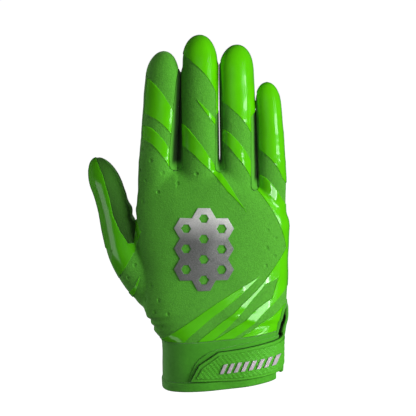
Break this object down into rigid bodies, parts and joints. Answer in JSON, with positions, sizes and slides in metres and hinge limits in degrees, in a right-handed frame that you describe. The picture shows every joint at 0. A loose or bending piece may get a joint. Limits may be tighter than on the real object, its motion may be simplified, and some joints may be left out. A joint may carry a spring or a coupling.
{
  "type": "football receiver glove",
  "caption": "Worn-shape right-hand sports glove with separate fingers and thumb, gloss slash films on a matte back, a grip palm and a slit wrist band closed by a strap.",
  "frame": {"origin": "centre of the wrist opening", "axes": "+Z to the fingertips, +X to the little finger, -Y out of the back of the hand, +Y out of the palm"},
  "size_m": [0.1293, 0.0555, 0.2256],
  "materials": {
    "back_fabric": "matte, fine-grained stretch fabric",
    "gusset_fabric": "matte stretch fabric",
    "grip_palm": "satin, slightly tacky grip coating",
    "band_fabric": "smooth elastic band",
    "strap_rubber": "satin, moulded",
    "gloss_film": "high gloss bonded film",
    "silver_foil": "grainy metallic silver foil"
  },
  "bodies": {
    "root": {"back_panel": "back_fabric", "fourchette_index_middle": "back_fabric", "fourchette_middle_ring": "back_fabric", "fourchette_ring_little": "back_fabric", "thumb_back": "back_fabric", "thumb_gusset": "gusset_fabric", "palm_panel": "grip_palm", "thumb_palm": "grip_palm", "cuff": "band_fabric", "cuff_hem": "band_fabric", "slit_binding": "band_fabric", "landing_pad": "band_fabric", "strap": "strap_rubber", "strap_pad": "strap_rubber", "back_emblem": "silver_foil", "back_index": "back_fabric", "palm_index": "grip_palm", "back_middle": "back_fabric", "palm_middle": "grip_palm", "back_ring": "back_fabric", "palm_ring": "grip_palm", "back_little": "back_fabric", "palm_little": "grip_palm", "film_index_upper": "gloss_film", "film_index_lower": "gloss_film", "film_middle_tip": "gloss_film", "film_middle_sliver": "gloss_film", "film_middle_slash": "gloss_film", "film_ring_tip": "gloss_film", "film_ring_lower": "gloss_film", "film_little_tip": "gloss_film", "film_side": "gloss_film", "film_wrist_corner": "gloss_film", "film_wrist_leaf": "gloss_film", "film_thumb_leaf": "gloss_film", "film_thumb": "gloss_film", "strap_bar_1": "silver_foil", "strap_bar_2": "silver_foil", "strap_bar_3": "silver_foil", "strap_bar_4": "silver_foil", "strap_bar_5": "silver_foil", "strap_bar_6": "silver_foil", "strap_bar_7": "silver_foil", "strap_bar_8": "silver_foil"}
  },
  "joints": []
}
